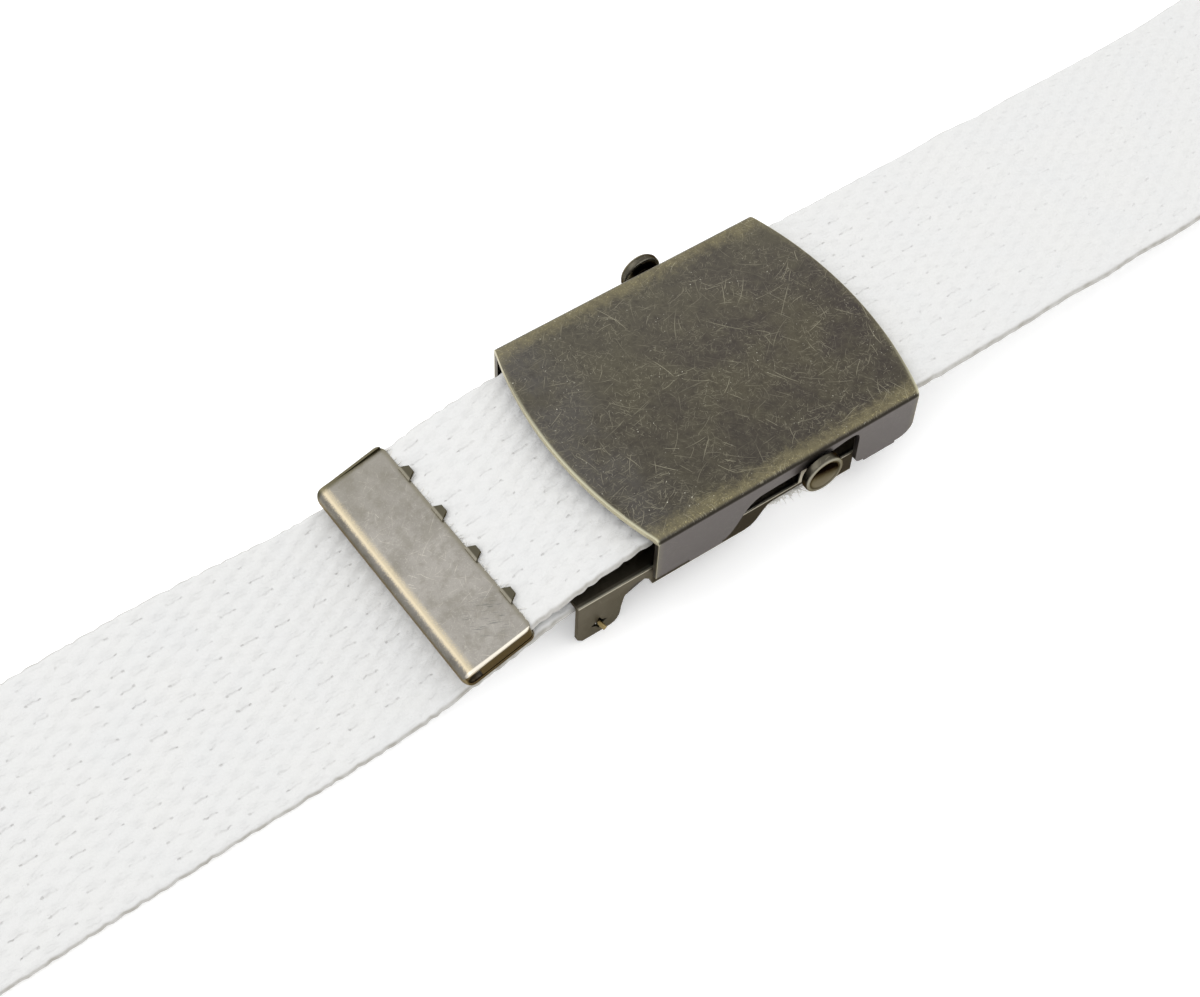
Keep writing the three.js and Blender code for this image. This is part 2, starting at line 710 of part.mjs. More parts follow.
// The loop seen from above, as arcs that meet smoothly. The long straight before the clamp
// takes up what is left of the length, and the left corner turns until the loop closes.
function planArcs() {
  const bowTurn = BOW_LENGTH / BOW_RADIUS;
  const rightTurn = RIGHT_CORNER_TURN * RAD;
  const skew = LEFT_SKEW * RAD;
  const headingIn = bowTurn + rightTurn;
  const cornerX =
    RIGHT_STRAIGHT +
    BOW_RADIUS * Math.sin(bowTurn) +
    RIGHT_CORNER_RADIUS * (Math.sin(headingIn) - Math.sin(bowTurn));
  const cornerY =
    BOW_RADIUS * (1 - Math.cos(bowTurn)) +
    RIGHT_CORNER_RADIUS * (Math.cos(bowTurn) - Math.cos(headingIn));
  const endX = (LEFT_BEND * Math.sin(skew)) / skew + LEFT_STRAIGHT;
  const endY = (LEFT_BEND * (1 - Math.cos(skew))) / skew;
  const solve = (leftTurn) => {
    const headingOut = 2 * Math.PI + skew - leftTurn;
    const backTurn = headingOut - headingIn;
    const known =
      RIGHT_STRAIGHT +
      BOW_LENGTH +
      RIGHT_CORNER_RADIUS * rightTurn +
      LEFT_CORNER_RADIUS * leftTurn +
      LEFT_BEND +
      LEFT_STRAIGHT;
    const knownX = cornerX + LEFT_CORNER_RADIUS * (Math.sin(skew) - Math.sin(headingOut)) + endX;
    const bend = (Math.sin(headingOut) - Math.sin(headingIn)) / Math.cos(skew);
    const backRadius = (loopLength - known + knownX / Math.cos(skew)) / (backTurn - bend);
    const straight = loopLength - known - backRadius * backTurn;
    const miss =
      cornerY +
      backRadius * (Math.cos(headingIn) - Math.cos(headingOut)) +
      LEFT_CORNER_RADIUS * (Math.cos(headingOut) - Math.cos(skew)) +
      straight * Math.sin(skew) +
      endY;
    return { leftTurn, backTurn, backRadius, straight, miss };
  };
  let low = LEFT_CORNER_LEAST * RAD;
  let high = LEFT_CORNER_MOST * RAD;
  for (let i = 0; i < SOLVER_ROUNDS; i++) {
    const middle = (low + high) / 2;
    if (solve(middle).miss > 0) high = middle;
    else low = middle;
  }
  const { leftTurn, backTurn, backRadius, straight } = solve(low);
  return [
    { length: RIGHT_STRAIGHT, turn: 0 },
    { length: BOW_LENGTH, turn: bowTurn },
    { length: RIGHT_CORNER_RADIUS * rightTurn, turn: rightTurn },
    { length: backRadius * backTurn, turn: backTurn },
    { length: LEFT_CORNER_RADIUS * leftTurn, turn: leftTurn },
    { length: straight, turn: 0 },
    { length: LEFT_BEND, turn: -skew },
    { length: LEFT_STRAIGHT, turn: 0 },
  ];
}

const arcs = planArcs();

// The tail's small sideways bend, from the straight under the cover to the tip's own line.
function tailAt(s) {
  const skew = TAIL_SKEW * RAD;
  const bend = -tipOpenX - TAIL_BEND_START;
  const past = -s - TAIL_BEND_START;
  if (past <= 0) return { x: s, y: 0, heading: 0 };
  if (past < bend) return { x: s, y: (-skew * past ** 2) / (2 * bend), heading: (skew * past) / bend };
  const beyond = past - bend;
  return {
    x: tipOpenX - beyond * Math.cos(skew),
    y: (-skew * bend) / 2 - beyond * Math.sin(skew),
    heading: skew,
  };
}

function planAt(s) {
  if (s < 0) return tailAt(s);
  let x = 0;
  let y = 0;
  let heading = 0;
  let left = s;
  for (const [i, arc] of arcs.entries()) {
    const step = i === arcs.length - 1 ? left : Math.min(left, arc.length);
    const turn = (arc.turn * step) / arc.length;
    if (arc.turn) {
      const radius = arc.length / arc.turn;
      x += radius * (Math.sin(heading + turn) - Math.sin(heading));
      y += radius * (Math.cos(heading) - Math.cos(heading + turn));
    } else {
      x += step * Math.cos(heading);
      y += step * Math.sin(heading);
    }
    heading += turn;
    left -= step;
    if (left <= 0) break;
  }
  return { x, y, heading };
}

// How far the strap is rolled about its front edge: 0 lies flat, 90 stands on edge.
function rollAt(s) {
  const back = loopLength - s;
  const rightRoll = smoothStep(RIGHT_ROLL_START, RIGHT_ROLL_END, s) * 90;
  const lean = smoothStep(-LEFT_LEAN_FULL, -LEFT_LEAN_START, -back) * -LEFT_LEAN + LEFT_LEAN;
  const leftRoll = lean + smoothStep(LEFT_ROLL_START, LEFT_ROLL_END, back) * (90 - lean);
  return (s < loopLength / 2 ? rightRoll : leftRoll) * RAD;
}

// The middle of the strap at s, in three dimensions.
function middleAt(s) {
  const { x, y, heading } = planAt(s);
  const roll = rollAt(s);
  const onEdge = strapHalf * Math.sin(roll) + flatMiddle * (Math.cos(roll) - 1);
  let height = flatMiddle;
  if (s < tipOpenX) height = tipOpenHeight + (s - tipOpenX) * tipSlope;
  else if (s < RIGHT_STRAIGHT + BOW_LENGTH) height = upperHeight(x);
  else if (s > loopLength + clampExit.x) {
    const droop = FIXED_END_DROOP * smoothStep(leverEnd, FIXED_END_U, x);
    height = clampExit.z + (x - clampExit.x) * buckleSlope - droop;
  }
  else if (s > loopLength + clampExit.x - LEFT_DROP_RUN) height = lowerHeight(x);
  return { place: new THREE.Vector3(x, y, height + onEdge), heading, roll };
}

// Stretches of the strap and the step between its sections in each.
function stations() {
  const finish = loopLength + fixedEnd;
  const stretches = [
    [tailEnd, exit.x + RIGHT_DROP_RUN, 4],
    [exit.x + RIGHT_DROP_RUN, RIGHT_ROLL_END, 6],
    [RIGHT_ROLL_END, loopLength - LEFT_ROLL_END, 10],
    [loopLength - LEFT_ROLL_END, loopLength - LEFT_LEAN_FULL, 6],
    [loopLength - LEFT_LEAN_FULL, finish, 4],
  ];
  const list = [];
  for (const [from, to, step] of stretches) {
    const count = Math.max(1, Math.ceil((to - from) / step));
    for (let i = 0; i < count; i++) list.push(from + ((to - from) * i) / count);
  }
  list.push(finish);
  return list;
}

// The strap's section, across its width and through its thickness.
function strapSection() {
  const w = strapHalf;
  const t = flatMiddle;
  const c = STRAP_CORNER;
  return [
    [-w + c, t],
    [-w, t - c],
    [-w, -t + c],
    [-w + c, -t],
    [w - c, -t],
    [w, -t + c],
    [w, t - c],
    [w - c, t],
  ];
}

function webbingStrap() {
  const section = strapSection();
  const list = stations();
  const vertices = [];
  for (const s of list) {
    const { place, heading, roll } = middleAt(s);
    const ahead = middleAt(s + 0.05).place;
    const behind = middleAt(s - 0.05).place;
    const forward = ahead.sub(behind).normalize();
    const level = new THREE.Vector3(-Math.sin(heading), Math.cos(heading), 0);
    const up = new THREE.Vector3().crossVectors(forward, level).normalize();
    const side = new THREE.Vector3().crossVectors(up, forward);
    const width = side.clone().multiplyScalar(Math.cos(roll)).addScaledVector(up, Math.sin(roll));
    const face = up.clone().multiplyScalar(Math.cos(roll)).addScaledVector(side, -Math.sin(roll));
    for (const [a, b] of section) {
      const corner = place.clone().addScaledVector(width, a).addScaledVector(face, b);
      vertices.push(corner.x, corner.y, corner.z);
    }
  }
  const n = section.length;
  const index = [];
  for (let i = 0; i + 1 < list.length; i++) {
    for (let j = 0; j < n; j++) {
      const a = i * n + j;
      const b = i * n + ((j + 1) % n);
      index.push(a, b, b + n, a, b + n, a + n);
    }
  }
  const last = (list.length - 1) * n;
  for (let j = 1; j + 1 < n; j++) {
    index.push(0, j + 1, j);
    index.push(last, last + j, last + j + 1);
  }
  const geometry = new THREE.BufferGeometry();
  geometry.setAttribute("position", new THREE.Float32BufferAttribute(vertices, 3));
  geometry.setIndex(index);
  return solidOf(geometry);
}

// Assembly

function node(name, solid, material) {
  const mesh = new THREE.Mesh(geometryOf(solid), material);
  mesh.name = name;
  return mesh;
}

const belt = new THREE.Group();

const cotton = new THREE.MeshStandardMaterial({ color: 0xefefeb, roughness: 0.95, metalness: 0 });
belt.add(node("webbing_strap", webbingStrap(), cotton));

const buckle = new THREE.Group();
buckle.position.z = coverHeight;
buckle.rotation.y = pitch;
buckle.add(node("buckle_cover", buckleCover(), metal(0x6b6350, 0.38)));
buckle.add(node("inner_frame", innerFrame(), metal(0x77706a, 0.4)));
buckle.add(node("locking_bar", lockingBar(), metal(0x8a8474, 0.35)));
buckle.add(node("clamp_jaw", clampJaw(), metal(0x6a655e, 0.42)));
buckle.add(node("hinge_pin", hingePin(), metal(0xb39a5c, 0.3)));
belt.add(buckle);

const tip = new THREE.Group();
const tipPlace = tailAt(tipOpenX - tipRun);
tip.position.set(tipPlace.x, tipPlace.y, tipFarHeight);
tip.rotation.set(0, -TIP_PITCH * RAD, TAIL_SKEW * RAD, "ZYX");
tip.add(node("strap_tip", strapTip(), metal(0x98917f, 0.36)));
belt.add(tip);

// The origin is the middle of the bottom of the bounding box.
const bounds = new THREE.Box3().setFromObject(belt, true);
const root = new THREE.Group();
belt.position.set(-(bounds.min.x + bounds.max.x) / 2, -(bounds.min.y + bounds.max.y) / 2, -bounds.min.z);
root.add(belt);

export default root;
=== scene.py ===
# %% [markdown]
# # A white canvas web belt with a slide buckle
# The belt is closed and lies on a table, plate up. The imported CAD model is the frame:
# every size and place comes from it. Here each solid gets the surface of the real thing,
# which is woven cotton for the strap and pressed, plated, handled metal for the buckle.
# The script works in metres, but belts are drawn in millimetres, so one name converts.

import bmesh
import bpy
import math
import numpy as np
from mathutils import Matrix, Vector


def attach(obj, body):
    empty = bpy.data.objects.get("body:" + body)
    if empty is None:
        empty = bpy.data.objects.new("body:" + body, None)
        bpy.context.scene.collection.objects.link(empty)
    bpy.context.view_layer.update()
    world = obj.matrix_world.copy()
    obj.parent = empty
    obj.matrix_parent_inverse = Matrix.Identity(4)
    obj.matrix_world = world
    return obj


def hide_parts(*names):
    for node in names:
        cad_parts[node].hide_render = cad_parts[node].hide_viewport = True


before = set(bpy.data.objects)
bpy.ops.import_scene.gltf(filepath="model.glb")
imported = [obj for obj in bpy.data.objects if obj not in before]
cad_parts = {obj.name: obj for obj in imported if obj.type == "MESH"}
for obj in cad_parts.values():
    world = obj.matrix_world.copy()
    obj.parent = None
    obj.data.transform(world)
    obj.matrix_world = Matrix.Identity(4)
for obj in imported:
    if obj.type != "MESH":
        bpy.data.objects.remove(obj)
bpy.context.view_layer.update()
MM = 0.001
print("frame:", sorted(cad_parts))

# %% [markdown]
# ## Camera
# The picture is a close product view from the front left, high above the buckle. The
# camera is set from the point it looks at, how far away it stands, how high it looks down
# from and which way round it stands, as a photographer would describe it. A slight roll
# levels it with the photograph.

# %% Place the camera
ORIGIN = np.array([-20.16914, -100.77217, 0.0])
LOOK_AT = ORIGIN + np.array([-22.151, -3.697, 5.0])
DISTANCE = 332.794
ELEVATION = math.radians(56.793)
AZIMUTH = math.radians(34.433)
ROLL = math.radians(-0.680)

away = np.array([math.sin(AZIMUTH), math.cos(AZIMUTH), 0.0])
level = np.array([math.cos(AZIMUTH), -math.sin(AZIMUTH), 0.0])
ahead = away * math.cos(ELEVATION) - np.array([0, 0, math.sin(ELEVATION)])
above = away * math.sin(ELEVATION) + np.array([0, 0, math.cos(ELEVATION)])
right = level * math.cos(ROLL) + above * math.sin(ROLL)
up = above * math.cos(ROLL) - level * math.sin(ROLL)

lens = bpy.data.cameras.new("camera")
lens.sensor_width = 36
lens.lens = 66.3
lens.clip_start = 0.01
camera = bpy.data.objects.new("camera", lens)
place = Matrix(np.column_stack([right, up, -ahead]).tolist()).to_4x4()
place.translation = Vector((LOOK_AT - ahead * DISTANCE) * MM)
camera.matrix_world = place
bpy.context.scene.collection.objects.link(camera)
bpy.context.scene.camera = camera
print("camera at", [round(x, 4) for x in place.translation])

# %% [markdown]
# ## Light and floor
# A plain white sweep under a soft bright sky gives the even light of a product picture.
# One large lamp behind the left shoulder of the buckle adds the streak along its folds, and
# a weaker one at the right fills its shadows. The plain view transform keeps paper white.

# %% Light the set
scene = bpy.context.scene
scene.view_settings.view_transform = "Standard"
world = bpy.data.worlds.new("studio")
world.use_nodes = True
sky = world.node_tree.nodes["Background"].inputs
sky["Color"].default_value = (1.0, 1.0, 1.0, 1.0)
sky["Strength"].default_value = 1.15
scene.world = world


def lamp(name, position, target, size, power):
    """A square soft box at position, turned to look at target; both are in millimetres."""
    light = bpy.data.lights.new(name, "AREA")
    light.size = size
    light.energy = power
    box = bpy.data.objects.new(name, light)
    line = Vector(target) - Vector(position)
    box.matrix_world = line.to_track_quat("-Z", "Y").to_matrix().to_4x4()
    box.location = Vector(position) * MM
    scene.collection.objects.link(box)


BUCKLE = (-20, -100, 0)
lamp("key", (-420, 360, 760), BUCKLE, 0.7, 2.6)
lamp("fill", (500, -500, 700), BUCKLE, 0.9, 0.8)
print("lamps:", [light.name for light in bpy.data.lights])

# %% [markdown]
# ## Shader sums as Python
# A material is a net of nodes, and most of them are plain arithmetic. This class wraps one
# socket, so that `1 - mask` or `height * 0.5` adds the right Math node by itself. One method
# makes every other kind of node.

# %% A class for sockets


class Net:
    """The node tree of one material, with a method that adds any node."""

    def __init__(self, name):
        self.material = bpy.data.materials.new(name)
        self.material.use_nodes = True
        self.tree = self.material.node_tree
        self.shader = self.tree.nodes["Principled BSDF"]

    def add(self, kind, settings=None, sockets=None, out=0):
        """Adds a node: settings first, then values or links of its sockets, by name or number."""
        node = self.tree.nodes.new("ShaderNode" + kind)
        for key, value in (settings or {}).items():
            setattr(node, key, value)
        for key, value in (sockets or {}).items():
            if isinstance(value, Wire):
                self.tree.links.new(value.socket, node.inputs[key])
            else:
                node.inputs[key].default_value = value
        return Wire(self, node.outputs[out])

    def mix(self, share, first, second):
        """A colour between first, where share is 0, and second, where share is 1."""
        first, second = (c if isinstance(c, Wire) else (*c, 1.0) for c in (first, second))
        settings = {"data_type": "RGBA", "clamp_factor": True}
        return self.add("Mix", settings, {0: share, 6: first, 7: second}, 2)

    def coat(self, colour, coats):
        """Lays coats over a colour in turn; each is its share of the surface and its colour."""
        for share, over in coats:
            colour = self.mix(share, colour, over)
        return colour

    def set(self, **values):
        """Sets or links sockets of the material's main shader; _ stands for a space."""
        for key, value in values.items():
            socket = self.shader.inputs[key.replace("_", " ")]
            if isinstance(value, Wire):
                self.tree.links.new(value.socket, socket)
            else:
                socket.default_value = value


class Wire:
    """One output socket, with the arithmetic operators of Python."""

    def __init__(self, net, socket):
        self.net = net
        self.socket = socket

    def math(self, operation, *others):
        """One Math node, with this wire first and the others after it."""
        values = dict(enumerate((self, *others)))
        return self.net.add("Math", {"operation": operation}, values)

    def __add__(self, other):
        return self.math("ADD", other)

    def __sub__(self, other):
        return self.math("SUBTRACT", other)

    def __mul__(self, other):
        return self.math("MULTIPLY", other)

    def __truediv__(self, other):
        return self.math("DIVIDE", other)

    def __rsub__(self, other):
        return self.net.add("Math", {"operation": "SUBTRACT"}, {0: other, 1: self})

    __radd__ = __add__
    __rmul__ = __mul__

    def rise(self, low, high):
        """0 below low, 1 above high, and a smooth step between them; it falls if high < low."""
        settings = {"interpolation_type": "SMOOTHSTEP"}
        ends = {1: min(low, high), 2: max(low, high)}
        ends.update({3: 0.0, 4: 1.0} if low < high else {3: 1.0, 4: 0.0})
        return self.net.add("MapRange", settings, {0: self, **ends})

    def both(self, other):
        """The larger of two masks, so that either one shows."""
        return self.math("MAXIMUM", other)

    def size(self):
        """The value without its sign."""
        return self.math("ABSOLUTE")


def axes(vector):
    """The x, y and z of a vector wire."""
    return [vector.net.add("SeparateXYZ", sockets={0: vector}, out=i) for i in range(3)]


def noise(net, vector, scale, detail=2.0, roughness=0.5):
    """Soft random values around 0.5, which change over about 1 / scale of the vector's unit."""
    sockets = {"Vector": vector, "Scale": scale, "Detail": detail, "Roughness": roughness}
    return net.add("TexNoise", None, sockets)


print("net ready")

# %% [markdown]
# ## The strap's route
# The strap is one strip of 1270 mm. It starts in the metal tip, runs under the cover and over
# the bar, falls to the table, stands up on edge for the loop behind, lies down again and ends
# in the clamp under its own tail. Its line is worked out here as it was for the solid: seen
# from above it is a chain of arcs, whose heading grows evenly with the length, and its height
# and its roll about its own line are smooth tables.

# %% Sizes of the strap
STRAP_WIDTH = 38.1
STRAP_THICKNESS = 1.8
HALF_WIDTH = STRAP_WIDTH / 2
HALF_THICK = STRAP_THICKNESS / 2
BELT_LENGTH = 1270.0
TAIL_START = -55.534
TIP_MOUTH = -45.1
TIP_MOUTH_HEIGHT = 10.529
TIP_PITCH = math.radians(12.8)
TIP_SLOPE = math.tan(TIP_PITCH)
TAIL_SKEW = math.radians(1.5)
ARCS = [
    (25, 0),
    (205, 0.25625),
    (123.569, 2.059489),
    (549.567, 1.78906),
    (131.855, 2.197585),
    (108.966, 0),
    (20, -0.019199),
    (42, 0),
]
LOOP = sum(length for length, turn in ARCS)
TAIL_STRAIGHT = -32
RIGHT_ROLL = (186, 265)
LEFT_ROLL = (130, 235)
LEFT_LEAN, LEAN_RUN = 12, (42, 96)
UPPER_END = 230
LOWER_RUN = 47
CLAMP_X, CLAMP_HEIGHT, BUCKLE_SLOPE = -37.4075, 7.6741, -0.043661
DROOP, DROOP_RUN = 2.1, (-6.3, 9)
UPPER = [
    (-45.1, 10.529, TIP_SLOPE),
    (-24.247, 13.3555),
    (3.9034, 13.9281, BUCKLE_SLOPE),
    (6.4034, 13.8189, BUCKLE_SLOPE),
    (23.9637, 12.5518),
    (35.1637, 11.9692),
    (46.3637, 11.3866),
    (59.8037, 10.4544),
    (76.6037, 8.3571),
    (91.1637, 6.3763),
    (104.6037, 4.279),
    (119.1637, 2.1817),
    (135.9637, 0.9),
]
LOWER = [
    (-84.4075, 0.9),
    (-67.4875, 1.5774),
    (-55.2675, 3.5419),
    (-43.5175, 6.5902),
    (-37.4075, 7.6741, 0.0),
]
print("loop of", round(LOOP, 1), "mm")

# %% Route functions


def smooth_step(start, end, x):
    """0 before start, 1 after end, and 3t^2 - 2t^3 between them."""
    t = np.clip((x - start) / (end - start), 0, 1)
    return t * t * (3 - 2 * t)


def smooth_through(points, x):
    """Height at x on cubic pieces through the points, with no overshoot: the slope at a
    point is the harmonic mean of its neighbours' slopes, 0 at a turn, or the one given."""
    px = np.array([p[0] for p in points])
    py = np.array([p[1] for p in points])
    secant = np.diff(py) / np.diff(px)
    before = np.concatenate([secant[:1], secant])
    after = np.concatenate([secant, secant[-1:]])
    product = before * after
    total = np.where(product > 0, before + after, 1.0)
    slope = np.where(product > 0, 2 * product / total, 0.0)
    slope = np.array([p[2] if len(p) > 2 else m for p, m in zip(points, slope)])
    i = np.clip(np.searchsorted(px, x, side="right") - 1, 0, len(px) - 2)
    run = px[i + 1] - px[i]
    t = np.clip((x - px[i]) / run, 0, 1)
    s = 1 - t
    ends = py[i] * (1 + 2 * t) * s * s + py[i + 1] * (3 - 2 * t) * t * t
    return ends + run * t * s * (slope[i] * s - slope[i + 1] * t)


def plan_route():
    """Fine steps of s with the place and heading of the line seen from above. The heading is
    piecewise linear in s, and x and y are the sums of its cosine and sine."""
    s = np.arange(-60, LOOP + 20, 0.1)
    knots = np.cumsum([0] + [length for length, turn in ARCS])
    turns = np.cumsum([0] + [turn for length, turn in ARCS])
    knots = np.concatenate([[-60, TIP_MOUTH, TAIL_STRAIGHT], knots])
    turns = np.concatenate([[TAIL_SKEW, TAIL_SKEW, 0], turns])
    heading = np.interp(s, knots, turns)
    step = np.diff(s)
    middle = (heading[1:] + heading[:-1]) / 2
    x = np.concatenate([[0], np.cumsum(np.cos(middle) * step)])
    y = np.concatenate([[0], np.cumsum(np.sin(middle) * step)])
    return s, x - np.interp(0, s, x), y - np.interp(0, s, y), heading


PLAN = plan_route()


def strap_frame(s):
    """The middle of the strap at each s, with the unit vectors along its width and out of
    its face. The roll turns width and face about the line: 0 lies flat, 90 stands on edge.
    Where it has a roll, the middle rises so that the lower edge stays on the table."""
    x, y, heading = (np.interp(s, PLAN[0], column) for column in PLAN[1:])
    back = LOOP - s
    lean = LEFT_LEAN * smooth_step(*LEAN_RUN, back)
    left = lean + smooth_step(*LEFT_ROLL, back) * (90 - lean)
    roll = np.radians(np.where(s < LOOP / 2, 90 * smooth_step(*RIGHT_ROLL, s), left))
    droop = DROOP * smooth_step(*DROOP_RUN, x)
    clamped = CLAMP_HEIGHT + (x - CLAMP_X) * BUCKLE_SLOPE - droop
    height = np.full_like(s, HALF_THICK)
    height = np.where(s > LOOP + CLAMP_X - LOWER_RUN, smooth_through(LOWER, x), height)
    height = np.where(s > LOOP + CLAMP_X, clamped, height)
    height = np.where(s < UPPER_END, smooth_through(UPPER, x), height)
    in_tip = TIP_MOUTH_HEIGHT + (s - TIP_MOUTH) * TIP_SLOPE
    height = np.where(s < TIP_MOUTH, in_tip, height)
    height = height + HALF_WIDTH * np.sin(roll) + HALF_THICK * (np.cos(roll) - 1)
    middle = np.stack([x, y, height], -1) + ORIGIN
    forward = np.gradient(middle, s, axis=0)
    forward /= np.linalg.norm(forward, axis=1, keepdims=True)
    across = np.stack([-np.sin(heading), np.cos(heading), np.zeros_like(s)], -1)
    over = np.cross(forward, across)
    over /= np.linalg.norm(over, axis=1, keepdims=True)
    side = np.cross(over, forward)
    cosine, sine = np.cos(roll)[:, None], np.sin(roll)[:, None]
    return middle, side * cosine + over * sine, over * cosine - side * sine


print("highest point of the line:", round(strap_frame(PLAN[0])[0][:, 2].max(), 2), "mm")

# %% [markdown]
# ## Woven surface
# Belt webbing is a thick weave whose yarns show as rows of ovals, each 6 mm apart along the
# strap and 2.8 mm apart across it, in a brick pattern. Between them lie small slanted pits.
# The relief is in the mesh: the face rises and falls by the product of two cosines. The
# finer yarns and pits are left to the material, which reads where each point lies on the
# flat strap from an attribute.

# %% Make the strap
STITCH = 6.0
ROW = 2.76
RELIEF = 0.1
SELVEDGE_LOOP = 2.9
LOOP_REACH = 0.26
NOTCH_BACK = 26.3
NOTCH_BULGE = 0.75
SPLIT = 971
STOPS = [(TAIL_START, 20, 0.5), (20, 265, 1.5), (265, SPLIT, 2.8)]
LAST_RINGS = 264
STRAP_END = TAIL_START + BELT_LENGTH


def mesh_object(name, points, faces, smooth=True):
    """A new piece from points in millimetres and faces as rows of indices."""
    mesh = bpy.data.meshes.new(name)
    mesh.from_pydata((points * MM).tolist(), [], faces.tolist())
    mesh.update()
    if smooth:
        mesh.shade_smooth()
    piece = bpy.data.objects.new(name, mesh)
    scene.collection.objects.link(piece)
    return piece


def ring_faces(count, ring):
    """Quads between neighbouring rings of a tube whose rings have the same number of points."""
    i, j = np.meshgrid(np.arange(count - 1), np.arange(ring), indexing="ij")
    a = i * ring + j
    b = i * ring + (j + 1) % ring
    return np.stack([a, b, b + ring, a + ring], -1).reshape(-1, 4)


def strap_surface():
    """Rings round the strap: columns over the upper face, a round edge, and back under it.
    Height is the half thickness, falling as a quarter circle at the edges, plus the weave:
    -cos(2 pi s / stitch) cos(2 pi v / row). The edge moves out and in with the size of
    sin(pi s / loop), less in the firm stretch to the right, and it bulges into the notch of
    the channel's ear."""
    last = np.linspace(SPLIT, STRAP_END, LAST_RINGS)
    s = np.concatenate([np.arange(*stop) for stop in STOPS] + [last])
    edge = HALF_WIDTH - HALF_THICK + HALF_THICK * np.sin(np.radians([30, 60, 90]))
    flat = np.linspace(-18.1, 18.1, 53)
    v = np.concatenate([-edge[::-1], flat, edge])
    over = np.clip((np.abs(v) - (HALF_WIDTH - HALF_THICK)) / HALF_THICK, 0, 1)
    thick = HALF_THICK * np.sqrt(1 - over**2)
    v_ring = np.concatenate([v[::-1], v[1:-1]])
    t_ring = np.concatenate([thick[::-1], -thick[1:-1]])
    sign = np.sign(np.round(t_ring, 6))
    middle, width, face = strap_frame(s)
    random = np.random.default_rng(4)
    wander = np.interp(s, np.linspace(s[0], s[-1], 160), random.normal(0, 0.1, 160))
    phase = 2 * np.pi * (s[:, None] + random.normal(0, 0.2, v_ring.size)) / STITCH
    rows = 2 * np.pi * v_ring / ROW
    weave = -np.cos(phase) * np.cos(rows) * np.where(sign < 0, -1, 1)
    fade = np.abs(t_ring) / HALF_THICK
    n = t_ring + sign * fade * (RELIEF * weave - 0.02)
    swell = np.interp(s, np.linspace(s[0], s[-1], 500), random.normal(0, 0.8, 500))
    firm = smooth_step(20.0, 60.0, s) * smooth_step(260.0, 200.0, s)
    loops = LOOP_REACH * np.abs(np.sin(np.pi * (s + swell) / SELVEDGE_LOOP)) - 0.2
    loops = loops * (1 - 0.6 * firm)
    outer = np.clip((np.abs(v_ring) - 17.5) / 1.5, 0, 1) * np.sign(v_ring)
    shift = (wander + loops)[:, None] * outer
    notch = smooth_step(1.6, 0.4, np.abs(s - LOOP + NOTCH_BACK))
    notch = notch * smooth_step(LOOP - 90, LOOP - 80, s)
    shift = shift - NOTCH_BULGE * notch[:, None] * (v_ring < -18)
    points = middle[:, None] + width[:, None] * (v_ring + shift)[..., None]
    points = points + face[:, None] * n[..., None]
    ring = v_ring.size
    faces = ring_faces(s.size, ring)
    weave_at = np.stack(np.broadcast_arrays(s[:, None], v_ring, fade * sign), -1)
    return points.reshape(-1, 3), faces, weave_at.reshape(-1, 3), ring


def close_ends(piece, ring):
    """Closes the first and last ring with one face each."""
    net = bmesh.new()
    net.from_mesh(piece.data)
    net.verts.ensure_lookup_table()
    last = len(net.verts) - ring
    net.faces.new([net.verts[i] for i in range(ring - 1, -1, -1)])
    net.faces.new([net.verts[last + i] for i in range(ring)])
    bmesh.ops.recalc_face_normals(net, faces=net.faces)
    net.to_mesh(piece.data)
    net.free()


points, faces, weave_at, ring = strap_surface()
strap = mesh_object("woven_strap", points, faces)
close_ends(strap, ring)
flat_place = strap.data.attributes.new("weave", "FLOAT_VECTOR", "POINT")
flat_place.data.foreach_set("vector", weave_at.astype(np.float32).ravel())
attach(strap, "root")
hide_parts("webbing_strap")
print("strap:", len(strap.data.polygons), "faces")

# %% [markdown]
# ## Bare strands
# The fixed end is a raw cut behind the clamp, so its yarns fray, and a few fibres stick out of
# the tip's mouth. Each is a thin tube of four sides on a bent line: its root, plus its aim
# times t, plus its curl times t squared, for t from 0 to 1. All are made as one array.

# %% Fray the ends


def strand_tubes(roots, aims, curls, radius):
    """Tapered tubes on the lines root + aim t + curl t^2, as points and faces of one mesh."""
    t = np.linspace(0, 1, 6)[None, :, None]
    line = roots[:, None] + aims[:, None] * t + curls[:, None] * t * t
    across = np.cross(aims, [0.3, 0.2, 1.0])
    across /= np.linalg.norm(across, axis=1, keepdims=True)
    third = np.cross(aims, across)
    third /= np.linalg.norm(third, axis=1, keepdims=True)
    turn = np.arange(4) * np.pi / 2
    ring = across[:, None] * np.cos(turn)[:, None] + third[:, None] * np.sin(turn)[:, None]
    points = line[:, :, None] + ring[:, None] * (radius * (1 - 0.5 * t))[..., None]
    ends = np.array([[0, 3, 2, 1], [20, 21, 22, 23]])
    one = np.concatenate([ring_faces(6, 4), ends])
    offsets = np.arange(len(roots)) * 24
    return points.reshape(-1, 3), (one[None] + offsets[:, None, None]).reshape(-1, 4)


def strap_points(s, v, n):
    """Places at s along the strap, v across it and n out of its face."""
    order = np.argsort(s)
    s, v, n = s[order], v[order], n[order]
    fine = np.linspace(s[0] - 1, s[-1] + 1, 400)
    middle, width, face = (
        np.stack([np.interp(s, fine, column) for column in part.T], -1)
        for part in strap_frame(fine)
    )
    return middle + width * v[:, None] + face * n[:, None]


def tuft(roots, aim, aim_spread, curl, curl_spread):
    """Strands from the roots: each aim and curl is drawn round a middle with a spread."""
    shape = (len(roots), 3)
    return roots, random.normal(aim, aim_spread, shape), random.normal(curl, curl_spread, shape)


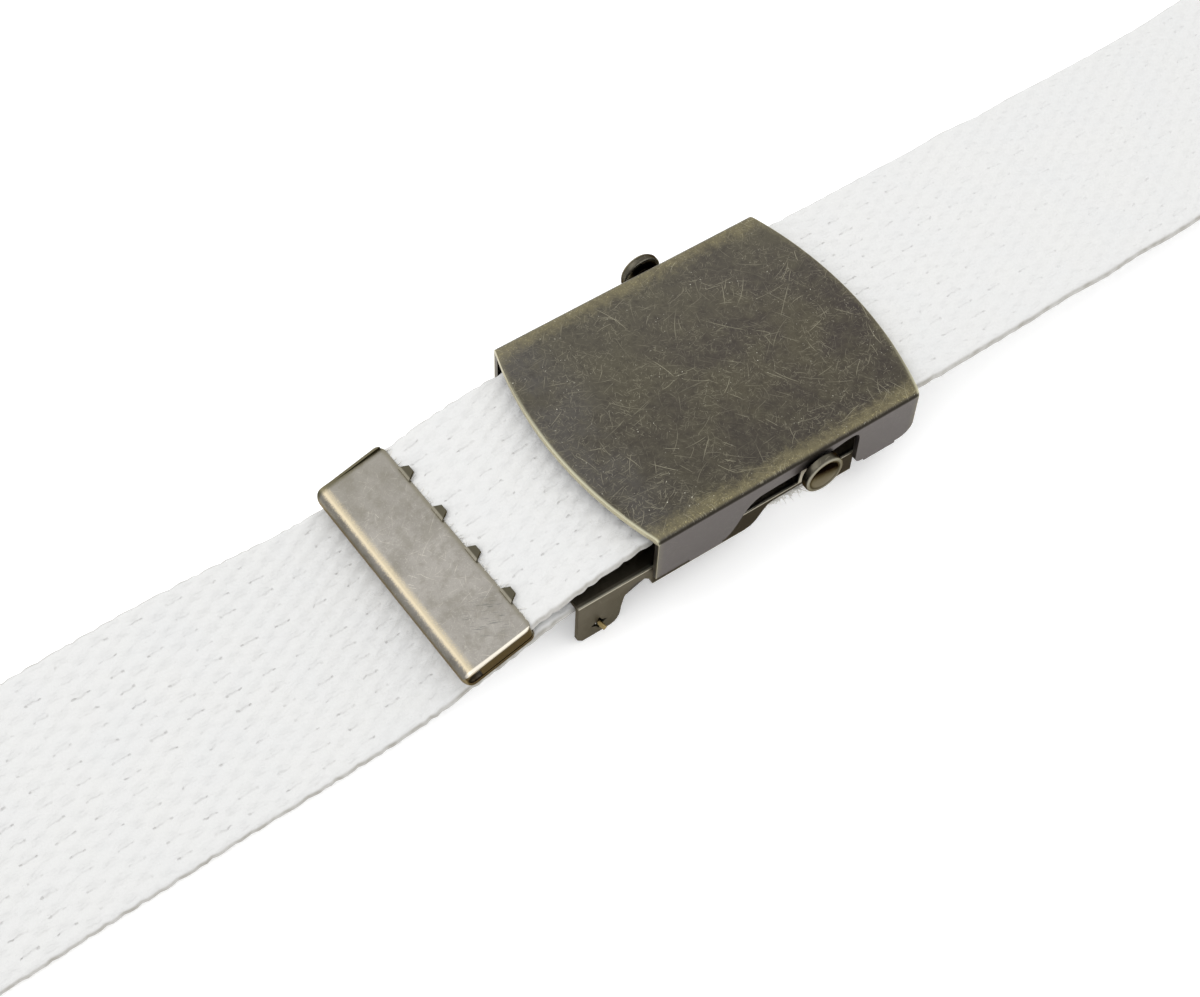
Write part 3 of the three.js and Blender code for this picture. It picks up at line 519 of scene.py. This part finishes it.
random = np.random.default_rng(11)
END_COUNT, RIM_COUNT, MOUTH_COUNT = 170, 150, 90
end_s = np.linspace(STRAP_END - 0.4, STRAP_END - 0.1, END_COUNT)
end_v, end_n = random.uniform([-18.8, -0.7], [18.8, 0.7], (END_COUNT, 2)).T
end_roots = strap_points(end_s, end_v, end_n)
end_tuft = tuft(end_roots, [1.9, 0, -0.2], [0.7, 0.7, 0.35], [0, 0, -0.5], [0.4, 0.6, 0.3])
rim_s = np.sort(random.uniform(STRAP_END - 11.5, STRAP_END - 0.5, RIM_COUNT))
rim_n = random.uniform(-0.7, 0.2, RIM_COUNT)
rim_roots = strap_points(rim_s, np.full(RIM_COUNT, -18.7), rim_n)
rim_tuft = tuft(rim_roots, [0.4, -0.7, -0.35], [0.8, 0.25, 0.3], [0, 0.1, -0.2], [0.6, 0.2, 0.25])
mouth_v = np.linspace(-18.5, 18.5, MOUTH_COUNT) + random.normal(0, 0.2, MOUTH_COUNT)
mouth_s = np.linspace(TIP_MOUTH - 0.35, TIP_MOUTH - 0.15, MOUTH_COUNT)
mouth_roots = strap_points(mouth_s, mouth_v, np.full(MOUTH_COUNT, 0.85))
mouth_tuft = tuft(
    mouth_roots, [0.55, 0, 0.3], [0.25, 0.35, 0.12], [0.1, 0, 0.1], [0.2, 0.3, 0.1]
)
roots, aims, curls = (np.concatenate(part) for part in zip(end_tuft, rim_tuft, mouth_tuft))
points, faces = strand_tubes(roots, aims, curls, 0.085)
strands = mesh_object("bare_strands", points, faces)
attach(strands, "root")
print("strands:", len(roots))

# %% [markdown]
# ## White cotton
# Bleached cotton is almost white and quite matt, with a soft sheen from its fuzz. The pits
# between the ovals are the only dark marks, each a short line along the strap, and their dark
# is painted shade. They are drawn from the flat place of each point: a pit lies where the
# distance to its row and to its middle are both small. Noise moves them a little, because no
# weave is perfect. Their painted shade fades in the evenly lit stretch to the right of the
# buckle, and the strap's rounded edges get a painted shade.

# %% Cotton material
cotton = Net("cotton")
flat = cotton.add("Attribute", {"attribute_name": "weave"}, out=1)
drift = noise(cotton, flat, 0.35, 1.0)
drift_more = noise(cotton, flat, 0.9, 1.0)
along, sideways, _ = axes(flat)
along = along + (drift - 0.5) * 2.2
sideways = sideways + (drift_more - 0.5) * 0.7


def pits(start, first_row, length, width):
    """Marks of a given length and width, repeated every stitch from start and every row."""
    past = (along - start).math("PINGPONG", STITCH / 2)
    off = (sideways - first_row).math("PINGPONG", ROW / 2)
    return past.rise(length, length * 0.45) * off.rise(width, 0.0)


deep = pits(0.0, 0.0, 1.45, 0.24)
shallow = pits(STITCH / 2, ROW / 2, 1.4, 0.26)
dots = pits(1.1, 0.0, 0.3, 0.22).both(pits(-1.1, 0.0, 0.3, 0.22))
patchy = noise(cotton, flat, 0.42, 2.0).rise(0.38, 0.66)
length_at, _, side_at = axes(flat)
# The painted pit shade is weaker in the evenly lit stretch right of the buckle.
fade = 1 - length_at.rise(25.0, 60.0) * length_at.rise(260.0, 200.0) * 0.82
marks = (deep * 0.26 + shallow * 0.14 + dots * 0.42) * (patchy * 0.85 + 0.15)
wave_along = (along * (2 * math.pi / STITCH)).math("COSINE")
wave_across = (sideways * (2 * math.pi / ROW)).math("COSINE")
ovals = 0.5 - wave_along * wave_across * 0.5
stretched = cotton.add("VectorMath", {"operation": "MULTIPLY"}, {0: flat, 1: (0.35, 1.0, 1.0)})
yarn = noise(cotton, stretched, 3.2, 3.0, 0.6)
fuzz = noise(cotton, flat, 9.0, 2.0, 0.6)
height = ovals * 1.1 + yarn * 0.6 + fuzz * 0.15 - marks * 1.1
# Painted shade: the pits are painted darker, as shade in the hollows of the weave.
tone = cotton.mix(marks * fade * 0.9, (0.64, 0.64, 0.632), (0.24, 0.23, 0.21))
tint = noise(cotton, flat, 0.12, 2.0).rise(0.35, 0.75)
tone = cotton.mix(tint * 0.12, tone, (0.58, 0.60, 0.63))
# Painted shade along the strap's rounded edge sides.
painted_rim = side_at.rise(0.93, 0.5) * side_at.rise(-0.95, -0.5)
tone = cotton.mix(painted_rim * (patchy * 0.3 + 0.55), tone, (0.285, 0.27, 0.235))
bump = cotton.add("Bump", None, {"Strength": 0.7, "Distance": 0.0003, "Height": height})
cotton.set(Base_Color=tone, Roughness=0.92, Normal=bump)
cotton.set(Sheen_Weight=0.25, Sheen_Roughness=0.5, Specular_IOR_Level=0.2)
strap.data.materials.append(cotton.material)

thread = Net("cotton_thread")
speck = noise(thread, thread.add("TexCoord", out=3), 900.0, 2.0)
thread.set(Base_Color=thread.mix(speck, (0.8, 0.79, 0.76), (0.62, 0.6, 0.55)), Roughness=0.95)
strands.data.materials.append(thread.material)
print("cotton ready")

# %% [markdown]
# ## Pressed metal pieces
# The buckle is stamped from sheet. Each piece starts as a merged copy of its solid, so its
# size and its place stay true, and a small bevel gives it the soft edges of a stamping, which
# catch the light. Weighted normals keep the flats flat.

# %% Copies with soft edges
FLAT = math.radians(0.6)
SHARP = math.radians(32)


def stamped(node, name, width):
    """A copy of a CAD node with its triangles merged into flat faces, and its edges bevelled
    by a width in millimetres."""
    mesh = bpy.data.meshes.new(name)
    net = bmesh.new()
    net.from_mesh(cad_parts[node].data)
    bmesh.ops.remove_doubles(net, verts=net.verts, dist=2e-6)
    bmesh.ops.dissolve_limit(net, angle_limit=FLAT, verts=net.verts, edges=net.edges)
    net.to_mesh(mesh)
    net.free()
    mesh.shade_smooth()
    piece = bpy.data.objects.new(name, mesh)
    scene.collection.objects.link(piece)
    bevel = piece.modifiers.new("soft edges", "BEVEL")
    bevel.width = width * MM
    bevel.segments = 2
    bevel.limit_method = "ANGLE"
    bevel.angle_limit = SHARP
    bevel.harden_normals = False
    normals = piece.modifiers.new("flat flats", "WEIGHTED_NORMAL")
    normals.keep_sharp = False
    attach(piece, "root")
    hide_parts(node)
    return piece


cover = stamped("buckle_cover", "cover_plate", 0.16)
inner = stamped("inner_frame", "frame_channel", 0.12)
bar = stamped("locking_bar", "bar_with_heads", 0.08)
jaw = stamped("clamp_jaw", "toothed_jaw", 0.08)
pin = stamped("hinge_pin", "brass_pin", 0.08)
tip = stamped("strap_tip", "folded_tip", 0.1)
print("metal pieces:", [p.name for p in (cover, inner, bar, jaw, pin, tip)])

# %% [markdown]
# ## Antique bronze and pewter
# The plating is dark, and handling has rubbed it: fine scratches in all directions, a warm
# band of wear along every fold, and bare bright metal on the cut edges. Painted light lies over
# the wear: a highlight along the bowed ends, glints, shade in the crease under the fold, a
# gradient lighter towards the back and a lighter flange. Where each lies is worked out in the
# buckle's own frame, in millimetres, so each band follows its edge.

# %% Scratches and wear
BUCKLE_PITCH = math.radians(2.5)
COVER_HEIGHT = 16.2005
REACH = 0.46
BOW = 0.7
LAYER_SHIFT = 3.7


def buckle_space(net):
    """Object coordinates turned into the buckle's frame: millimetres along, across and up."""
    sockets = {
        "Vector": net.add("TexCoord", out=3),
        "Location": (ORIGIN[0] * MM, ORIGIN[1] * MM, COVER_HEIGHT * MM),
        "Rotation": (0.0, BUCKLE_PITCH, 0.0),
        "Scale": (MM, MM, MM),
    }
    return net.add("Mapping", {"vector_type": "TEXTURE"}, sockets)


def unrolled(net, place):
    """The surface laid out flat: u along the piece, and v less w, which runs down the sides."""
    u, v, w = axes(place)
    return net.add("CombineXYZ", None, {0: u, 1: v - w, 2: 0.0})


def scratches(net, flat, cell, half_width, shift):
    """One hairline in each cell of a random net, turned and bowed by the cell's own random
    colour: across = x sin a - y cos a + bow * along^2, and a line lies where across is small
    and along is less than its reach. Its strength is random too."""
    sockets = {
        "Vector": flat,
        "Location": (shift, shift * 0.7, 0.0),
        "Scale": (1 / cell, 1 / cell, 1.0),
    }
    scaled = net.add("Mapping", {"vector_type": "POINT"}, sockets)
    settings = {"voronoi_dimensions": "2D", "feature": "F1"}
    sockets = {"Vector": scaled, "Scale": 1.0, "Randomness": 1.0}
    colour = net.add("TexVoronoi", settings, sockets, 1)
    middle = Wire(net, colour.socket.node.outputs["Position"])
    local = net.add("VectorMath", {"operation": "SUBTRACT"}, {0: scaled, 1: middle})
    x, y, _ = axes(local)
    turn, bow, strength = axes(colour)
    angle = turn * (2 * math.pi)
    cosine, sine = angle.math("COSINE"), angle.math("SINE")
    along = x * cosine + y * sine
    across = x * sine - y * cosine + (bow - 0.5) * along * along * BOW
    width = half_width / cell
    line = across.size().rise(width, width * 0.3) * along.size().rise(REACH, REACH * 0.5)
    return line * strength * (strength * 0.6 + 0.4)


def scratch_set(net, flat, cells, half_width):
    """The strongest of several nets of hairlines, one for each cell size in millimetres."""
    total = None
    for number, cell in enumerate(cells):
        layer = scratches(net, flat, cell, half_width, LAYER_SHIFT * number)
        total = layer if total is None else total.both(layer)
    return total


print("scratch layers ready")

# %% Cover material
BOW_RADIUS = 64.8125
BOW_CENTRE = -37.1125
FLANGE_OUT = 21.3
SCRATCH_TONE = (0.285, 0.265, 0.195)
WORN_GOLD = (0.36, 0.315, 0.165)
bronze = Net("cover_bronze")
place = buckle_space(bronze)
u, v, w = axes(place)
patches = noise(bronze, place, 0.09, 3.0, 0.6)
fine_patches = noise(bronze, place, 0.7, 4.0, 0.65)
flat_cover = unrolled(bronze, place)
long_marks = scratch_set(bronze, flat_cover, [8.5, 5.6, 4.1, 3.1], 0.06)
short_marks = scratch_set(bronze, flat_cover, [2.2, 1.6, 1.2, 0.9, 0.7], 0.05)
specks = noise(bronze, place, 3.2, 3.0, 0.7).rise(0.56, 0.7)
busy = noise(bronze, place, 0.16, 2.0).rise(0.3, 0.65)
top = w.rise(-0.9, -0.4)
marks = (long_marks * 1.1).both(short_marks * 0.75) * (busy * 0.75 + 0.25)
marks = marks.both(specks * busy * 0.22)
# Painted glints: small spots of painted highlight on the top.
glints = noise(bronze, place, 2.6, 1.0, 0.5).rise(0.73, 0.77) * busy * top
marks = marks * (top * 0.85 + 0.15)
end = (BOW_RADIUS**2 - v * v).math("SQRT") + BOW_CENTRE
to_end = end - u.size()
to_fold = FLANGE_OUT - v.size()
rub = fine_patches * 1.6 + patches * 0.8 - 1.3
grit = specks * 0.75 + 0.3
fold_band = (to_fold - rub * 2.6).rise(4.2, 0.8) * w.rise(-0.4, -0.05) * grit
end_band = (to_end - rub * 0.8).rise(1.3, 0.1) * grit
# Painted highlight along the bowed ends, brightest towards the front left.
end_highlight = to_end.rise(0.55, 0.1) * (v + u * 0.5).rise(8.0, -14.0) * w.rise(-1.2, -0.6)
# Painted shade: a dark line in the crease under the fold.
crease_shade = w.rise(-1.0, -0.75) * w.rise(-0.25, -0.5) * to_fold.rise(0.5, 0.1)
cut = to_end.rise(0.12, -0.05)
left_end = u.rise(-13.0, -22.0) * patches.rise(0.35, 0.6)
ground = bronze.mix(patches.rise(0.35, 0.65), (0.062, 0.053, 0.048), (0.090, 0.080, 0.058))
clouds = [
    (u.rise(22.0, -26.0) * 0.5, (0.086, 0.080, 0.056)),
    # The next two coats are painted light: lighter towards the back, darker towards the front.
    (v.rise(-6.0, 20.0) * 0.45, (0.118, 0.109, 0.086)),
    (v.rise(-2.0, -19.0) * 0.3, (0.05, 0.044, 0.036)),
    (left_end * 0.5, (0.09, 0.085, 0.09)),
    (fine_patches.rise(0.45, 0.7) * 0.4, (0.115, 0.105, 0.078)),
    (fine_patches.rise(0.5, 0.3) * 0.35, (0.042, 0.037, 0.033)),
]
# Painted light: the flange is painted lighter than the top of the same sheet.
flange = bronze.mix(fine_patches * 0.3, (0.098, 0.086, 0.080), (0.13, 0.115, 0.105))
ground = bronze.mix(top, flange, bronze.coat(ground, clouds))
# Wear, with painted light among it: glints, the end highlight and the crease shade.
wear_and_painted_light = [
    (marks, SCRATCH_TONE),
    (glints * 0.8, (0.62, 0.60, 0.50)),
    (fold_band * 0.95, WORN_GOLD),
    (end_band * 0.6, (0.27, 0.245, 0.145)),
    (end_highlight * 0.75, (0.62, 0.60, 0.44)),
    (crease_shade * 0.9, (0.02, 0.017, 0.012)),
    (cut * 0.9, (0.62, 0.57, 0.40)),
]
colour = bronze.coat(ground, wear_and_painted_light)
gloss = 0.46 - marks * 0.1 - fold_band * 0.1 - (1 - top) * 0.08 + fine_patches * 0.1
height = fine_patches * 0.25 - marks * 0.5
bump = bronze.add("Bump", None, {"Strength": 0.35, "Distance": 0.00006, "Height": height})
bronze.set(Base_Color=colour, Roughness=gloss, Normal=bump, Metallic=1.0)
cover.data.materials.append(bronze.material)
print("cover bronze ready")

# %% [markdown]
# ## Metals of the other pieces
# The channel, its clamp and the bar are plated like the cover, but handled less. Where the
# cover shades the channel it is painted almost black, its web top and inner faces get painted
# shade, and its edges a painted highlight. The clamp is dark all over. The bar's heads get a
# painted highlight round the face and painted light and shade across the dish, and its shaft
# painted shade. The tip is a paler plating with a painted highlight along its fold, painted
# shade under the fold, on its front wall and along its back edge, a painted gradient darker
# to the back, and a dark band at its crimped mouth. One function gives the common ground, and
# each piece adds its own shades by place, as a list of coats.

# %% A common plated ground


def plated(net, place, dark, light, scratch, cells, half_width, amount):
    """Clouds of two tones with hairlines over them, amount strong; gives the colour, the
    lines and the clouds."""
    clouds = noise(net, place, 0.16, 4.0, 0.6)
    lines = scratch_set(net, unrolled(net, place), cells, half_width)
    busy = noise(net, place, 0.3, 2.0).rise(0.35, 0.7)
    lines = lines * (busy * 0.8 + 0.2) * amount
    colour = net.mix(clouds.rise(0.3, 0.7), dark, light)
    return net.mix(lines, colour, scratch), lines, clouds


def finish_metal(net, piece, colour, roughness, lines, clouds, glance=(1.0, 1.0, 1.0)):
    """Sets the metal's shader, with a slight bump and the tint of light that glances off it,
    and gives it to its piece."""
    height = clouds * 0.3 - lines * 0.6
    bump = net.add("Bump", None, {"Strength": 0.3, "Distance": 0.00005, "Height": height})
    rough = roughness + clouds * 0.14 - lines * 0.1
    net.set(Base_Color=colour, Roughness=rough, Normal=bump, Metallic=1.0)
    net.set(Specular_Tint=(*glance, 1.0))
    piece.data.materials.append(net.material)


# %% Channel, bar, jaw and pin
SLOT_TRACK = (-24.5, -23.5)
BAR_U, BAR_W = 5.25, -4.55
HEAD_FACE = (22.3, 22.65)
net = Net("frame_bronze")
place = buckle_space(net)
u, v, w = axes(place)
dark, light, scratch = (0.075, 0.069, 0.052), (0.115, 0.105, 0.082), (0.34, 0.30, 0.22)
colour, lines, clouds = plated(net, place, dark, light, scratch, [3.1, 1.7], 0.05, 0.4)
wall = v.size().rise(19.25, 19.45)
shade_blotches = noise(net, place, 0.8, 3.0)
low = w.rise(-12.75, -12.5).both(u.rise(3.0, 6.0))
# Painted shade: the wall is painted almost black where the cover's flange shades it.
shaded = u.rise(-24.2, -23.4) * u.rise(15.0, 13.5) * wall * low
# Painted highlight along the wall's lower edge in the slot and its upper edge at the web.
lip_highlight = w.rise(-12.62, -12.75) * w.rise(-12.98, -12.85) * u.rise(*SLOT_TRACK)
painted_rim = w.rise(-8.5, -8.3) * v.size().rise(19.7, 20.0)
shades = [
    # Painted shade on the web top and inner faces, blotchy by noise.
    ((1 - wall) * (shade_blotches * 0.5 + 0.6), (0.05, 0.042, 0.03)),
    (shaded * 0.93, (0.012, 0.010, 0.008)),
    (lip_highlight.both(painted_rim) * 0.8, (0.52, 0.49, 0.40)),
]
finish_metal(net, inner, net.coat(colour, shades), 0.32, lines, clouds, (0.75, 0.69, 0.6))

net = Net("bar_pewter")
place = buckle_space(net)
u, v, w = axes(place)
dark, light, scratch = (0.055, 0.05, 0.038), (0.10, 0.092, 0.07), (0.36, 0.33, 0.25)
colour, lines, clouds = plated(net, place, dark, light, scratch, [1.6, 1.0], 0.06, 0.6)
along, above = u - BAR_U, w - BAR_W
from_axis = (along * along + above * above).math("SQRT")
slant = along * 0.25 + above
face = v.size().rise(*HEAD_FACE)
# Painted highlight round the face of each head.
painted_rim = from_axis.rise(2.7, 3.0) * from_axis.rise(3.42, 3.3) * face
dish = from_axis.rise(2.75, 2.4) * face
shades = [
    (painted_rim * 0.6, (0.36, 0.34, 0.27)),
    # Painted light and shade on the dished face: lit towards its lower side, almost black above.
    (dish * slant.rise(0.6, -1.6) * 0.9, (0.22, 0.20, 0.15)),
    (dish * slant.rise(-0.2, 1.3) * 0.92, (0.014, 0.010, 0.006)),
    # Painted shade on the shaft between the flanges.
    (v.size().rise(21.8, 21.4) * 0.8, (0.03, 0.026, 0.02)),
]
finish_metal(net, bar, net.coat(colour, shades), 0.24, lines, clouds, (0.3, 0.26, 0.2))

net = Net("jaw_metal")
dark, light, scratch = (0.035, 0.03, 0.024), (0.06, 0.052, 0.042), (0.2, 0.18, 0.14)
metal = plated(net, buckle_space(net), dark, light, scratch, [2.2, 1.3], 0.05, 0.4)
finish_metal(net, jaw, metal[0], 0.4, *metal[1:])

net = Net("pin_brass")
dark, light, scratch = (0.20, 0.15, 0.065), (0.34, 0.27, 0.14), (0.7, 0.62, 0.42)
metal = plated(net, buckle_space(net), dark, light, scratch, [0.9], 0.06, 0.4)
finish_metal(net, pin, metal[0], 0.22, *metal[1:])
print("channel, bar, jaw and pin ready")

# %% Tip material
TIP_PLACE = (-57.3827, -0.4931, 7.737)
TIP_LENGTH = 12.6


def tip_space(net):
    """Object coordinates turned into the tip's frame: from its closed end, across, and up."""
    x, y, z = (float(a + b) * MM for a, b in zip(ORIGIN, TIP_PLACE))
    sockets = {
        "Vector": net.add("TexCoord", out=3),
        "Location": (x, y, z),
        "Rotation": (0.0, -TIP_PITCH, TAIL_SKEW),
        "Scale": (MM, MM, MM),
    }
    return net.add("Mapping", {"vector_type": "TEXTURE"}, sockets)


net = Net("tip_metal")
place = tip_space(net)
u, v, w = axes(place)
dark, light, scratch = (0.178, 0.167, 0.148), (0.25, 0.237, 0.215), (0.52, 0.49, 0.42)
cells = [5.2, 3.3, 2.0, 1.3]
colour, lines, clouds = plated(net, place, dark, light, scratch, cells, 0.045, 0.55)
grit = noise(net, place, 4.0, 3.0, 0.7)
stain = noise(net, place, 0.45, 4.0, 0.65)
ragged = (grit - 0.5) * 1.5
brushed = net.add("Mapping", None, {"Vector": place, "Rotation": (0.0, 0.0, 0.55)})
brushed = net.add("Mapping", None, {"Vector": brushed, "Scale": (0.5, 6.0, 1.0)})
nick = noise(net, brushed, 1.0, 1.0).rise(0.60, 0.68)
nick = nick * v.rise(-18.0, -16.0) * v.rise(-9.0, -13.0) * u.rise(4.5, 6.5) * u.rise(11.8, 10.5)
from_fold = u + ragged
# Painted highlight along the top of the fold.
fold_highlight = from_fold.rise(0.9, 1.5) * from_fold.rise(2.8, 1.7) * w.rise(0.8, 1.3)
# Painted shade on the lower half of the fold.
under_fold_shade = (w + ragged * 0.5).rise(1.25, 0.35) * u.rise(3.0, 1.6)
# Painted shade along the back edge, where the sheet turns down away from the light.
back = (v + ragged * 0.5).rise(18.3, 19.2)
mouth = (u + ragged * 0.4).rise(TIP_LENGTH - 0.9, TIP_LENGTH - 0.2)
teeth = u.rise(TIP_LENGTH, TIP_LENGTH + 0.2)
# Painted shade on the front side wall below its top edge.
front_wall_shade = v.rise(-19.25, -19.45) * w.rise(1.5, 1.2)
# Painted highlight along the front top edge.
edge = v.rise(-19.0, -19.2) * w.rise(1.3, 1.55)
shades = [
    (grit.rise(0.5, 0.75) * 0.35, (0.40, 0.385, 0.34)),
    (stain.rise(0.55, 0.35) * 0.4, (0.14, 0.13, 0.105)),
    (nick * 0.55, (0.085, 0.09, 0.085)),
    # Painted light: the top is darker towards the back edge.
    (v.rise(4.0, 19.0) * 0.4, (0.15, 0.14, 0.115)),
    (fold_highlight * 0.8, (0.45, 0.385, 0.265)),
    (under_fold_shade * 0.85, (0.20, 0.16, 0.10)),
    (back * 0.85, (0.075, 0.066, 0.035)),
    (mouth * 0.6, (0.13, 0.118, 0.08)),
    (teeth, (0.055, 0.05, 0.035)),
    (front_wall_shade, (0.05, 0.036, 0.024)),
    (edge * 0.8, (0.62, 0.58, 0.50)),
]
finish_metal(net, tip, net.coat(colour, shades), 0.32, lines, clouds, (0.8, 0.7, 0.5))
print("tip metal ready")

# %% [markdown]
# ## Floor
# A wide white sheet of paper, matt and almost even. It glows a little, so that it stays
# white where the belt's soft shadows fall.

# %% Make the floor
paper = Net("paper")
grain = noise(paper, paper.add("TexCoord", out=3), 40.0, 2.0)
paper.set(Base_Color=paper.mix(grain, (0.9, 0.9, 0.9), (0.93, 0.93, 0.93)), Roughness=0.9)
paper.set(Emission_Color=(1.0, 1.0, 1.0, 1.0), Emission_Strength=0.26)
HALF_FLOOR = 2500.0
square = np.array([[-1, -1, 0], [1, -1, 0], [1, 1, 0], [-1, 1, 0]]) * HALF_FLOOR
floor = mesh_object("floor", square, np.array([[0, 1, 2, 3]]), smooth=False)
floor.data.materials.append(paper.material)
print("floor ready")
